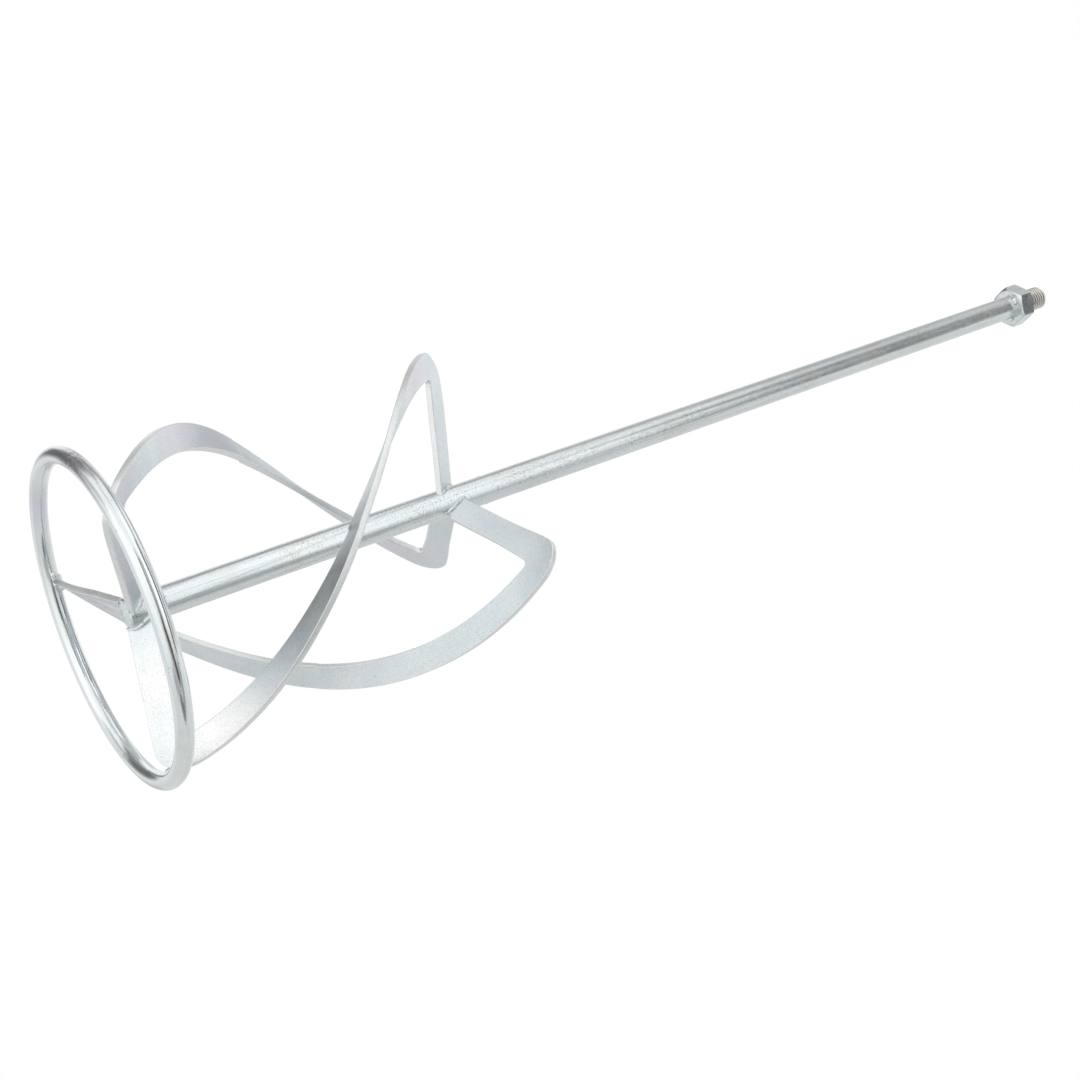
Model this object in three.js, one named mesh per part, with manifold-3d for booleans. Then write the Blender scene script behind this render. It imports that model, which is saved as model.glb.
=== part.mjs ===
// A mortar mixing paddle: a round steel shaft with a ring at its lower end, three C-shaped
// blades that climb the shaft in a left-handed helix, and a hexagon with a threaded stud at
// the drive end. Everything is welded into one rigid tool. Millimetres, +Z along the shaft
// towards the drive end, origin on the axis where the ring touches the ground.

import * as THREE from "three";
import { mergeVertices } from "three/addons/utils/BufferGeometryUtils.js";
import Module from "manifold-3d";

// Driving dimensions
const SHAFT_DIAMETER = 14;
const SHAFT_BOTTOM = 12;
const SHAFT_CHAMFER = 0.6;

const NUT_BOTTOM = 600;
const NUT_HEIGHT = 11;
const NUT_ACROSS_FLATS = 22;
const NUT_CHAMFER_ANGLE = THREE.MathUtils.degToRad(30);

const THREAD_DIAMETER = 13.8;
const THREAD_PITCH = 2;
const THREAD_DEPTH = 1.1;
const STUD_REACH = 18.5;
const STUD_CHAMFER = 1.6;

const RING_BAR_DIAMETER = 8;
const RING_RADIUS = 74;

const BLADE_COUNT = 3;
const BLADE_START_ANGLE = THREE.MathUtils.degToRad(-20);
const BLADE_THICKNESS = 3;
const BLADE_BOTTOM = 2.1;
const BLADE_TOP = 196.4;
const BLADE_OUTER_RADIUS = 73;
const BLADE_TWIST = THREE.MathUtils.degToRad(-163);
const STRIP_WIDTH = 12.8;
const ARM_HEIGHT = 11;
const LEG_HEIGHT = 10.8;
const ARM_PITCH = THREE.MathUtils.degToRad(-43);
const LEG_PITCH = THREE.MathUtils.degToRad(-30);
const ARM_RISE = 0.19;
const LEG_DROP = 0.215;
const OUTER_CORNER_RADIUS = 12;
const INNER_CORNER_RADIUS = 2.6;
const TWIST_BLEND = 7;

const ROOT_BEAD_RADIUS = 2.2;
const RING_BEAD_RADIUS = 2.1;
const NUT_BEAD_RADIUS = 1.6;
const NUT_TACK_COUNT = 3;

// Gap kept between two pieces that touch
const GAP = 0.3;

// Fineness of the facets
const ROUND_SIDES = 36;
const RING_STEPS = 60;
const RING_SIDES = 12;
const THREAD_SIDES = 16;
const THREAD_ROWS_PER_TURN = 4;
const CORNER_STEPS = 5;
const ARM_STEPS = 5;
const STRIP_STEPS = 30;
const BLADE_STRIPS = 2;
const BEAD_SIDES = 6;
const BEAD_STEPS = 16;

// Worked out from the driving dimensions
const SHAFT_RADIUS = SHAFT_DIAMETER / 2;
const NUT_TOP = NUT_BOTTOM + NUT_HEIGHT;
const STUD_TOP = NUT_TOP + STUD_REACH;
const THREAD_RADIUS = THREAD_DIAMETER / 2;
const RING_BAR_RADIUS = RING_BAR_DIAMETER / 2;
const STRIP_INNER_RADIUS = BLADE_OUTER_RADIUS - STRIP_WIDTH;
const ARM_MIDDLE = BLADE_BOTTOM + ARM_HEIGHT / 2;
const LEG_MIDDLE = BLADE_TOP - LEG_HEIGHT / 2;
const TWIST_RATE = BLADE_TWIST / (LEG_MIDDLE - ARM_MIDDLE);

// Materials
const shaftSteel = new THREE.MeshStandardMaterial({ color: 0xd9dde0, roughness: 0.3, metalness: 1 });
const ringSteel = new THREE.MeshStandardMaterial({ color: 0xdcdedd, roughness: 0.22, metalness: 1 });
const bladeSteel = new THREE.MeshStandardMaterial({ color: 0xc6ccd4, roughness: 0.45, metalness: 1 });
const nutSteel = new THREE.MeshStandardMaterial({ color: 0xb4b9bd, roughness: 0.4, metalness: 1 });
const studSteel = new THREE.MeshStandardMaterial({ color: 0xb9b4a8, roughness: 0.45, metalness: 1 });
const weldMetal = new THREE.MeshStandardMaterial({ color: 0xc9ccca, roughness: 0.55, metalness: 1 });

// Joining and cutting
const wasm = await Module();
wasm.setup();

function solidOf(geometry) {
  const bare = geometry.clone();
  bare.deleteAttribute("normal");
  bare.deleteAttribute("uv");
  const merged = mergeVertices(bare, 1e-4);
  const vertProperties = merged.getAttribute("position").array;
  const triVerts = new Uint32Array(merged.getIndex().array);
  return new wasm.Manifold(new wasm.Mesh({ numProp: 3, vertProperties, triVerts }));
}

function geometryOf(solid) {
  const { vertProperties, triVerts } = solid.getMesh();
  const geometry = new THREE.BufferGeometry();
  geometry.setAttribute("position", new THREE.BufferAttribute(vertProperties, 3));
  geometry.setIndex(new THREE.BufferAttribute(triVerts, 1));
  geometry.computeVertexNormals();
  return geometry;
}

// Cuts pieces away and keeps the largest body that is left
function cut(geometry, ...cutters) {
  let solid = solidOf(geometry);
  for (const cutter of cutters) solid = solid.subtract(solidOf(cutter));
  const bodies = solid.decompose();
  bodies.sort((a, b) => b.volume() - a.volume());
  return geometryOf(bodies[0]);
}

// An upright round bar from one height to another
function bar(radius, bottom, top, sides = ROUND_SIDES) {
  const geometry = new THREE.CylinderGeometry(radius, radius, top - bottom, sides);
  geometry.rotateX(Math.PI / 2);
  geometry.translate(0, 0, (bottom + top) / 2);
  return geometry;
}

// A solid of revolution about Z from [radius, height] pairs
function turned(profile, sides) {
  const points = profile.map(([radius, height]) => new THREE.Vector2(radius, height));
  const geometry = new THREE.LatheGeometry(points, sides);
  geometry.rotateX(Math.PI / 2);
  return geometry;
}

// Shaft, with a small chamfer at its lower end
function shaftGeometry() {
  const top = NUT_BOTTOM - GAP;
  return turned([
    [0, SHAFT_BOTTOM],
    [SHAFT_RADIUS - SHAFT_CHAMFER, SHAFT_BOTTOM],
    [SHAFT_RADIUS, SHAFT_BOTTOM + SHAFT_CHAMFER],
    [SHAFT_RADIUS, top],
    [0, top],
  ], ROUND_SIDES);
}

// Hexagon with its corners turned off at both faces and a clear bore for the stud
function nutGeometry() {
  const cornerRadius = NUT_ACROSS_FLATS / Math.sqrt(3);
  const faceRadius = NUT_ACROSS_FLATS / 2 - 0.4;
  const chamferHeight = (cornerRadius - faceRadius) * Math.tan(NUT_CHAMFER_ANGLE);
  const hexagon = new THREE.CylinderGeometry(cornerRadius, cornerRadius, NUT_HEIGHT, 6);
  hexagon.rotateX(Math.PI / 2);
  hexagon.rotateZ(Math.PI / 2);
  hexagon.translate(0, 0, NUT_BOTTOM + NUT_HEIGHT / 2);
  const rounded = turned([
    [0, NUT_BOTTOM],
    [faceRadius, NUT_BOTTOM],
    [cornerRadius, NUT_BOTTOM + chamferHeight],
    [cornerRadius, NUT_TOP - chamferHeight],
    [faceRadius, NUT_TOP],
    [0, NUT_TOP],
  ], ROUND_SIDES);
  const bore = bar(THREAD_RADIUS + GAP, NUT_BOTTOM - 1, NUT_TOP + 1);
  return geometryOf(solidOf(hexagon).intersect(solidOf(rounded)).subtract(solidOf(bore)));
}

// Stud, plain where it sits in the nut and with a helical thread beyond it
function studGeometry() {
  const bottom = NUT_BOTTOM + GAP;
  const length = STUD_TOP - bottom;
  const rows = Math.round((length / THREAD_PITCH) * THREAD_ROWS_PER_TURN);
  const geometry = new THREE.CylinderGeometry(1, 1, length, THREAD_SIDES, rows);
  geometry.rotateX(Math.PI / 2);
  geometry.translate(0, 0, (bottom + STUD_TOP) / 2);
  const position = geometry.getAttribute("position");
  const point = new THREE.Vector3();
  for (let i = 0; i < position.count; i += 1) {
    point.fromBufferAttribute(position, i);
    const angle = Math.atan2(point.y, point.x);
    const wave = Math.cos((2 * Math.PI * point.z) / THREAD_PITCH - angle);
    const groove = THREAD_DEPTH * (0.5 - THREE.MathUtils.clamp(1.3 * wave, -1, 1) / 2);
    const cutIn = THREE.MathUtils.smoothstep(point.z, NUT_TOP - 1, NUT_TOP + 1);
    const chamfer = THREAD_RADIUS - STUD_CHAMFER + (STUD_TOP - point.z);
    const radius = Math.min(THREAD_RADIUS - groove * cutIn, chamfer);
    const scale = Math.hypot(point.x, point.y) * radius;
    position.setXY(i, Math.cos(angle) * scale, Math.sin(angle) * scale);
  }
  return geometry;
}

// Ring bent from round bar, with a flat of its faceted section facing the ground
function ringGeometry(grow = 0) {
  const circumradius = (RING_BAR_RADIUS + grow) / Math.cos(Math.PI / RING_SIDES);
  const section = [];
  for (let i = 0; i <= RING_SIDES; i += 1) {
    const angle = (2 * Math.PI * ((i % RING_SIDES) + 0.5)) / RING_SIDES;
    section.push([
      RING_RADIUS + circumradius * Math.cos(angle),
      RING_BAR_RADIUS + circumradius * Math.sin(angle),
    ]);
  }
  return turned(section, RING_STEPS);
}

// Where a point of the flat blade pattern, given by its radius and height, lies once the
// pattern is twisted: the outer strip follows a helix, the arm and the leg stay flat plates
// that lean by their own pitch and slope a little towards the shaft.
function bladePoint(radius, height) {
  const isArm = height < (ARM_MIDDLE + LEG_MIDDLE) / 2;
  const middle = isArm ? ARM_MIDDLE : LEG_MIDDLE;
  const lean = Math.tan(isArm ? ARM_PITCH : LEG_PITCH) * (height - middle);
  const slope = isArm ? ARM_RISE : -LEG_DROP;
  const plateAngle = TWIST_RATE * (middle - ARM_MIDDLE);
  const helixAngle = TWIST_RATE * (height - ARM_MIDDLE);
  const plate = new THREE.Vector2(radius, lean).rotateAround(new THREE.Vector2(), plateAngle);
  const helix = new THREE.Vector2(radius, 0).rotateAround(new THREE.Vector2(), helixAngle);
  const blend = THREE.MathUtils.smoothstep(radius, STRIP_INNER_RADIUS - TWIST_BLEND, STRIP_INNER_RADIUS);
  plate.lerp(helix, blend);
  const inward = Math.max(0, STRIP_INNER_RADIUS - radius);
  return new THREE.Vector3(plate.x, plate.y, height + slope * inward);
}

// Unit normal of the twisted pattern
function bladeNormal(radius, height) {
  const step = 0.05;
  const outwards = bladePoint(radius + step, height).sub(bladePoint(radius - step, height));
  const upwards = bladePoint(radius, height + step).sub(bladePoint(radius, height - step));
  return upwards.cross(outwards).normalize();
}

// The flat pattern as lines across it, each from the C's inner edge to its outer edge, along
// the arm, round the lower corner, up the strip, round the upper corner and back along the leg
function bladePattern(grow) {
  const outer = BLADE_OUTER_RADIUS + grow;
  const inner = STRIP_INNER_RADIUS - grow;
  const bottom = BLADE_BOTTOM - grow;
  const top = BLADE_TOP + grow;
  const armTop = BLADE_BOTTOM + ARM_HEIGHT + grow;
  const legBottom = BLADE_TOP - LEG_HEIGHT - grow;
  const wide = OUTER_CORNER_RADIUS + grow;
  const tight = INNER_CORNER_RADIUS - grow;
  const start = 3;
  const armEnd = Math.min(inner - tight, outer - wide);
  const lines = [];
  const line = (innerRadius, innerHeight, outerRadius, outerHeight) => {
    lines.push([
      new THREE.Vector2(innerRadius, innerHeight),
      new THREE.Vector2(outerRadius, outerHeight),
    ]);
  };
  for (let i = 0; i <= ARM_STEPS; i += 1) {
    const radius = THREE.MathUtils.lerp(start, armEnd, i / ARM_STEPS);
    line(radius, armTop, radius, bottom);
  }
  for (let i = 1; i <= CORNER_STEPS; i += 1) {
    const angle = (Math.PI / 2) * (i / CORNER_STEPS);
    const across = Math.sin(angle);
    const up = 1 - Math.cos(angle);
    line(inner - tight + tight * across, armTop + tight * up, outer - wide + wide * across, bottom + wide * up);
  }
  const stripBottom = Math.max(armTop + tight, bottom + wide);
  const stripTop = Math.min(legBottom - tight, top - wide);
  for (let i = 0; i <= STRIP_STEPS; i += 1) {
    const height = THREE.MathUtils.lerp(stripBottom, stripTop, i / STRIP_STEPS);
    line(inner, height, outer, height);
  }
  for (let i = 0; i < CORNER_STEPS; i += 1) {
    const angle = (Math.PI / 2) * (i / CORNER_STEPS);
    const across = Math.cos(angle);
    const up = 1 - Math.sin(angle);
    line(inner - tight + tight * across, legBottom - tight * up, outer - wide + wide * across, top - wide * up);
  }
  for (let i = 0; i <= ARM_STEPS; i += 1) {
    const radius = THREE.MathUtils.lerp(armEnd, start, i / ARM_STEPS);
    line(radius, legBottom, radius, top);
  }
  return lines;
}

// One blade as a box bent over the pattern, grown on all sides by the given amount
function bladeBlank(grow = 0) {
  const lines = bladePattern(grow);
  const steps = lines.length - 1;
  const geometry = new THREE.BoxGeometry(1, 1, 1, BLADE_STRIPS, 1, steps);
  const position = geometry.getAttribute("position");
  for (let i = 0; i < position.count; i += 1) {
    const [inner, outer] = lines[Math.round((position.getZ(i) + 0.5) * steps)];
    const { x: radius, y: height } = inner.clone().lerp(outer, position.getX(i) + 0.5);
    const offset = position.getY(i) * (BLADE_THICKNESS + 2 * grow);
    const place = bladePoint(radius, height).addScaledVector(bladeNormal(radius, height), offset);
    position.setXYZ(i, place.x, place.y, place.z);
  }
  return geometry;
}

// A weld bead along a path: a rippled tube that tapers at both ends
function bead(path, radius) {
  const geometry = new THREE.CylinderGeometry(1, 1, 1, BEAD_SIDES, BEAD_STEPS);
  const position = geometry.getAttribute("position");
  const frames = path.computeFrenetFrames(BEAD_STEPS, false);
  for (let i = 0; i < position.count; i += 1) {
    const along = position.getY(i) + 0.5;
    const row = Math.round(along * BEAD_STEPS);
    const taper = Math.sqrt(Math.max(0.12, Math.sin(Math.PI * along)));
    const ripple = 1 + 0.09 * Math.sin(2.4 * row);
    const size = radius * taper * ripple;
    const place = path.getPointAt(along);
    place.addScaledVector(frames.normals[row], position.getZ(i) * size);
    place.addScaledVector(frames.binormals[row], position.getX(i) * size);
    position.setXYZ(i, place.x, place.y, place.z);
  }
  return geometry;
}

// Path of a bead round the root of an arm or leg, lying on the shaft
function rootPath(middle, pitch, slope, width) {
  const reach = SHAFT_RADIUS + ROOT_BEAD_RADIUS * 0.35;
  const halfWidth = width / 2 + ROOT_BEAD_RADIUS * 0.2;
  const halfThickness = BLADE_THICKNESS / 2 + ROOT_BEAD_RADIUS * 0.3;
  const rootHeight = middle + slope * (STRIP_INNER_RADIUS - reach);
  const plateAngle = TWIST_RATE * (middle - ARM_MIDDLE);
  const squared = (value) => Math.sign(value) * Math.abs(value) ** 0.6;
  const points = [];
  const count = 24;
  for (let i = 0; i <= count; i += 1) {
    const turn = THREE.MathUtils.lerp(-0.47, 0.47, i / count) * 2 * Math.PI;
    const along = halfWidth * squared(Math.cos(turn));
    const across = halfThickness * squared(Math.sin(turn));
    const side = along * Math.sin(pitch) + across * Math.cos(pitch);
    const height = rootHeight + along * Math.cos(pitch) - across * Math.sin(pitch);
    const outward = Math.sqrt(reach * reach - side * side);
    const place = new THREE.Vector2(outward, side).rotateAround(new THREE.Vector2(), plateAngle);
    points.push(new THREE.Vector3(place.x, place.y, height));
  }
  return new THREE.CatmullRomCurve3(points);
}

// Path of a bead in the corner between one face of the blade and the ring
function ringPath(face) {
  const reach = RING_BAR_RADIUS + RING_BEAD_RADIUS * 0.3;
  const facing = THREE.MathUtils.degToRad(142);
  const spread = THREE.MathUtils.degToRad(44);
  const away = BLADE_THICKNESS / 2 + RING_BEAD_RADIUS * 0.3;
  const points = [];
  for (let i = 0; i <= 10; i += 1) {
    const angle = facing + spread * (i / 5 - 1);
    const radius = RING_RADIUS + reach * Math.cos(angle);
    const height = RING_BAR_RADIUS + reach * Math.sin(angle);
    const sideways = face * away * Math.hypot(1, radius * TWIST_RATE);
    const turn = TWIST_RATE * (height - ARM_MIDDLE) + sideways / radius;
    points.push(new THREE.Vector3(radius * Math.cos(turn), radius * Math.sin(turn), height));
  }
  return new THREE.CatmullRomCurve3(points);
}

// Path of one tack weld between the shaft and the nut
function tackPath(middleAngle) {
  const reach = SHAFT_RADIUS + NUT_BEAD_RADIUS * 0.35;
  const points = [];
  for (let i = 0; i <= 10; i += 1) {
    const angle = middleAngle + THREE.MathUtils.degToRad(34) * (i / 5 - 1);
    const height = NUT_BOTTOM - NUT_BEAD_RADIUS * 0.35;
    points.push(new THREE.Vector3(reach * Math.cos(angle), reach * Math.sin(angle), height));
  }
  return new THREE.CatmullRomCurve3(points);
}

// Assembly
const paddle = new THREE.Group();

function add(name, geometry, material, parent = paddle) {
  const mesh = new THREE.Mesh(geometry, material);
  mesh.name = name;
  parent.add(mesh);
  return mesh;
}

add("shaft", shaftGeometry(), shaftSteel);
add("hex_nut", nutGeometry(), nutSteel);
add("drive_stud", studGeometry(), studSteel);
add("ring", ringGeometry(), ringSteel);

const shaftRoom = bar(SHAFT_RADIUS + GAP, -1, NUT_BOTTOM);
const ringRoom = ringGeometry(GAP);
const bladeRoom = bladeBlank(GAP);
const nutRoom = bar(NUT_ACROSS_FLATS, NUT_BOTTOM - GAP, NUT_TOP);
const armWidth = ARM_HEIGHT / Math.cos(ARM_PITCH);
const legWidth = LEG_HEIGHT / Math.cos(LEG_PITCH);

const blade = cut(bladeBlank(), shaftRoom, ringRoom);
const bottomRootPath = rootPath(ARM_MIDDLE, ARM_PITCH, ARM_RISE, armWidth);
const topRootPath = rootPath(LEG_MIDDLE, LEG_PITCH, -LEG_DROP, legWidth);
const bottomWeld = cut(bead(bottomRootPath, ROOT_BEAD_RADIUS), shaftRoom, bladeRoom);
const topWeld = cut(bead(topRootPath, ROOT_BEAD_RADIUS), shaftRoom, bladeRoom);
const ringWelds = [-1, 1].map((face) => cut(bead(ringPath(face), RING_BEAD_RADIUS), ringRoom, bladeRoom));

for (let i = 0; i < BLADE_COUNT; i += 1) {
  const third = new THREE.Group();
  third.rotation.z = BLADE_START_ANGLE + (2 * Math.PI * i) / BLADE_COUNT;
  paddle.add(third);
  const number = i + 1;
  add(`blade_${number}`, blade, bladeSteel, third);
  add(`weld_bottom_${number}`, bottomWeld, weldMetal, third);
  add(`weld_top_${number}`, topWeld, weldMetal, third);
  add(`weld_ring_lower_${number}`, ringWelds[0], weldMetal, third);
  add(`weld_ring_upper_${number}`, ringWelds[1], weldMetal, third);
}

for (let i = 0; i < NUT_TACK_COUNT; i += 1) {
  const angle = (2 * Math.PI * i) / NUT_TACK_COUNT;
  add(`weld_nut_${i + 1}`, cut(bead(tackPath(angle), NUT_BEAD_RADIUS), shaftRoom, nutRoom), weldMetal);
}

export default paddle;
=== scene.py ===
import math
import random

import bpy
import numpy as np
from mathutils import Matrix, Vector, noise


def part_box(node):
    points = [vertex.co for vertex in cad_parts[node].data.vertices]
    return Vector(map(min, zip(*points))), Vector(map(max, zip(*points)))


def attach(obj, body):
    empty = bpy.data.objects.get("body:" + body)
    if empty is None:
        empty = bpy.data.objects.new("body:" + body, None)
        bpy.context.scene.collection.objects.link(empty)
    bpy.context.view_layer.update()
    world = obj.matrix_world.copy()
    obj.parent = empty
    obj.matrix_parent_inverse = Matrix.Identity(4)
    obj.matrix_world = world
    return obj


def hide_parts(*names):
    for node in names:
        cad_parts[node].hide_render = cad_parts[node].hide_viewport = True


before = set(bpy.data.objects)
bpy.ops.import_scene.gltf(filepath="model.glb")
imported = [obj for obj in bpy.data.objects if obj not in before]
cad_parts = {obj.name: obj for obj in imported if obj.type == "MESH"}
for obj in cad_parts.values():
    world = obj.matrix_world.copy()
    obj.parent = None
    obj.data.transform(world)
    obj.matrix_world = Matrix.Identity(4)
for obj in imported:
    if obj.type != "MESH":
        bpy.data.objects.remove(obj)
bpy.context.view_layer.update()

# ---------------------------------------------------------------------------------------------
# Sizes, in metres. What the frame knows is read from it; the rest repeats the CAD's dimensions.
# ---------------------------------------------------------------------------------------------
MM = 0.001

shaft_low, shaft_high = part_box("shaft")
ring_low, ring_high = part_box("ring")
nut_low, nut_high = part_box("hex_nut")
stud_low, stud_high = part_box("drive_stud")

SHAFT_RADIUS = shaft_high.x
SHAFT_BOTTOM = shaft_low.z
NUT_BOTTOM = nut_low.z
NUT_TOP = nut_high.z
NUT_FLAT_RADIUS = nut_high.y
THREAD_RADIUS = stud_high.x
STUD_TOP = stud_high.z
BAR_RADIUS = (ring_high.z - ring_low.z) / 2
RING_RADIUS = ring_high.x - BAR_RADIUS

BLADE_COUNT = 3
BLADE_START = math.radians(-20)
BLADE_TWIST = math.radians(-163)
BLADE_THICKNESS = 3 * MM
BLADE_BOTTOM = 2.1 * MM
BLADE_TOP = 196.4 * MM
BLADE_RADIUS = 73 * MM
STRIP_WIDTH = 12.8 * MM
ARM_HEIGHT = 11 * MM
LEG_HEIGHT = 10.8 * MM
ARM_PITCH = math.radians(-43)
LEG_PITCHES = (math.radians(-39), math.radians(-30), math.radians(-30))
ARM_RISE = 0.19
LEG_DROP = 0.215
OUTER_CORNER = 12 * MM
INNER_CORNER = 2.6 * MM
TWIST_BLEND = 36 * MM
SLOPE_BLEND = 6 * MM
SHEARED_EDGE = 0.35 * MM

THREAD_PITCH = 2 * MM
THREAD_DEPTH = 1.15 * MM
STUD_CHAMFER = 1.6 * MM

ARM_BEAD = 1.5 * MM
LEG_BEAD = 1.25 * MM
RING_BEAD = 1.5 * MM
NUT_BEAD = 1.45 * MM

STRIP_INNER = BLADE_RADIUS - STRIP_WIDTH
ARM_MIDDLE = BLADE_BOTTOM + ARM_HEIGHT / 2
LEG_MIDDLE = BLADE_TOP - LEG_HEIGHT / 2
TWIST_RATE = BLADE_TWIST / (LEG_MIDDLE - ARM_MIDDLE)

rng = random.Random(14)
scene = bpy.context.scene


# ---------------------------------------------------------------------------------------------
# Mesh helpers
# ---------------------------------------------------------------------------------------------
def make_object(name, points, faces, material, sharp_degrees=35):
    """A smooth-shaded mesh object whose edges sharper than the given angle stay crisp."""
    mesh = bpy.data.meshes.new(name)
    mesh.from_pydata([tuple(p) for p in points], [], faces)
    mesh.validate()
    mesh.polygons.foreach_set("use_smooth", [True] * len(mesh.polygons))
    mesh.set_sharp_from_angle(angle=math.radians(sharp_degrees))
    mesh.materials.append(material)
    made = bpy.data.objects.new(name, mesh)
    scene.collection.objects.link(made)
    return made


def skin(rows, close_rows=False, cap_ends=True):
    """Points and quads over rows of points, each row a closed loop."""
    count, around = len(rows), len(rows[0])
    points = [p for row in rows for p in row]
    faces = []
    for i in range(count if close_rows else count - 1):
        j = (i + 1) % count
        for a in range(around):
            b = (a + 1) % around
            faces.append((i * around + a, i * around + b, j * around + b, j * around + a))
    if cap_ends and not close_rows:
        faces.append(tuple(reversed(range(around))))
        faces.append(tuple(range((count - 1) * around, count * around)))
    return points, faces


def merge(parts):
    """Several (points, faces) pairs as one."""
    points, faces = [], []
    for some_points, some_faces in parts:
        base = len(points)
        points.extend(some_points)
        faces.extend(tuple(base + v for v in face) for face in some_faces)
    return points, faces


def turned(profile, sides):
    """Rows for a solid of revolution about Z from (radius, height) pairs."""
    angles = [2 * math.pi * i / sides for i in range(sides)]
    return [[Vector((r * math.cos(a), r * math.sin(a), z)) for a in angles] for r, z in profile]


def smoothstep(x, low, high):
    t = min(1, max(0, (x - low) / (high - low)))
    return t * t * (3 - 2 * t)


def turn_z(point, angle):
    return Matrix.Rotation(angle, 3, "Z") @ point


def keep(made, node):
    """Lets a piece stand for a CAD node: hangs it on the root body and hides the node."""
    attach(made, "root")
    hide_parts(node)


def set_vectors(made, name, values):
    layer = made.data.attributes.new(name, "FLOAT_VECTOR", "POINT")
    layer.data.foreach_set("vector", [x for value in values for x in value])


def set_values(made, name, values):
    layer = made.data.attributes.new(name, "FLOAT", "POINT")
    layer.data.foreach_set("value", values)


# ---------------------------------------------------------------------------------------------
# Material helper: adds nodes, sets their sockets and joins them
# ---------------------------------------------------------------------------------------------
class Shader:
    def __init__(self, name, **surface):
        self.material = bpy.data.materials.new(name)
        self.material.use_nodes = True
        self.tree = self.material.node_tree
        self.surface = self.tree.nodes["Principled BSDF"]
        for socket, value in surface.items():
            self.surface.inputs[socket.replace("_", " ")].default_value = value

    def add(self, kind, inputs=None, **settings):
        made = self.tree.nodes.new("ShaderNode" + kind)
        for key, value in settings.items():
            setattr(made, key, value)
        for key, value in (inputs or {}).items():
            self.feed(made.inputs[key], value)
        return made

    def feed(self, socket, value):
        if isinstance(value, bpy.types.NodeSocket):
            self.tree.links.new(value, socket)
        else:
            socket.default_value = value

    def place(self):
        """Where the point is, in the part's own frame."""
        return self.add("TexCoord").outputs["Object"]

    def attribute(self, name, output="Vector"):
        """What the mesh code stored on the points: grain, sheared, dull or root."""
        return self.add("Attribute", attribute_name=name).outputs[output]

    def stretched(self, vector, x, y, z):
        return self.add("Mapping", {"Vector": vector, "Scale": (x, y, z)}).outputs["Vector"]

    def noise(self, vector, scale, detail=3, rough=0.55):
        values = {"Vector": vector, "Scale": scale, "Detail": detail, "Roughness": rough}
        return self.add("TexNoise", values).outputs["Fac"]

    def level(self, value, low, high, to_low=0.0, to_high=1.0):
        """Moves a value's range, and holds it inside the new one."""
        made = self.add("MapRange", {"Value": value, "From Min": low, "From Max": high})
        made.inputs["To Min"].default_value = to_low
        made.inputs["To Max"].default_value = to_high
        return made.outputs["Result"]

    def math(self, operation, a, b):
        return self.add("Math", {0: a, 1: b}, operation=operation).outputs[0]

    def mix(self, factor, a, b):
        """One color laid over another. The Mix node's color sockets are numbers 6 and 7, and 2."""
        made = self.add("Mix", data_type="RGBA")
        self.feed(made.inputs[0], factor)
        self.feed(made.inputs[6], a)
        self.feed(made.inputs[7], b)
        return made.outputs[2]

    def ramp(self, value, *stops):
        made = self.add("ValToRGB", {"Fac": value})
        elements = made.color_ramp.elements
        while len(elements) < len(stops):
            elements.new(0.5)
        for element, (position, color) in zip(elements, stops):
            element.position = position
            element.color = (*color, 1)
        return made.outputs["Color"]

    def bump(self, height, strength, distance, base=None):
        values = {"Height": height, "Strength": strength, "Distance": distance}
        if base is not None:
            values["Normal"] = base
        return self.add("Bump", values).outputs["Normal"]

    def zones(self, place, zones):
        """One near the middle of any of the zones, fading to none at its reach."""
        total = 0.0
        for center, reach in zones:
            away = self.add("VectorMath", {0: place, 1: Vector(center) * MM}, operation="DISTANCE")
            near = self.level(away.outputs["Value"], reach * MM, reach * MM * 0.25)
            total = self.math("MAXIMUM", total, near)
        return total

    def finish(self, color, roughness, normal):
        self.feed(self.surface.inputs["Base Color"], color)
        self.feed(self.surface.inputs["Roughness"], roughness)
        self.feed(self.surface.inputs["Normal"], normal)
        return self.material


def rgba(color):
    return (*color, 1)


# ---------------------------------------------------------------------------------------------
# Materials
# ---------------------------------------------------------------------------------------------
BRIGHT_ZINC = (0.83, 0.87, 0.88)
BLUE_ZINC = (0.71, 0.785, 0.83)
LILAC_ZINC = (0.70, 0.695, 0.775)
PINK_ZINC = (0.76, 0.705, 0.765)
GREEN_ZINC = (0.745, 0.81, 0.80)
GREY_ZINC = (0.57, 0.615, 0.625)
NUT_ZINC = (0.72, 0.745, 0.765)
WARM_ZINC = (0.89, 0.885, 0.875)
STAIN = (0.72, 0.67, 0.58)
DARK_SPECK = (0.17, 0.17, 0.16)
WARM_STEEL = (0.56, 0.52, 0.45)
# Near-black colour of the painted shade in the thread roots.
ROOT_SHADE_COLOR = (0.13, 0.12, 0.10)

# Where the passivation turns lilac on the blades, and where it is warm and nearly white:
# (place in millimetres, reach in millimetres)
LILAC_ZONES = (
    ((-68, 8, 62), 34),
    ((-55, -42, 13), 26),
    ((-10, 31, 9), 34),
    ((-24, -26, 9), 26),
    ((23, 56, 179), 24),
    ((-66, -22, 169), 20),
    ((-58, 30, 88), 28),
)
RING_LILAC = (
    ((-72, -18, 4), 34),
    ((-55, 50, 4), 20),
)
WARM_ZONES = (
    ((52, -42, 24), 34),
    ((30, -12, 10), 24),
)


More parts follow.
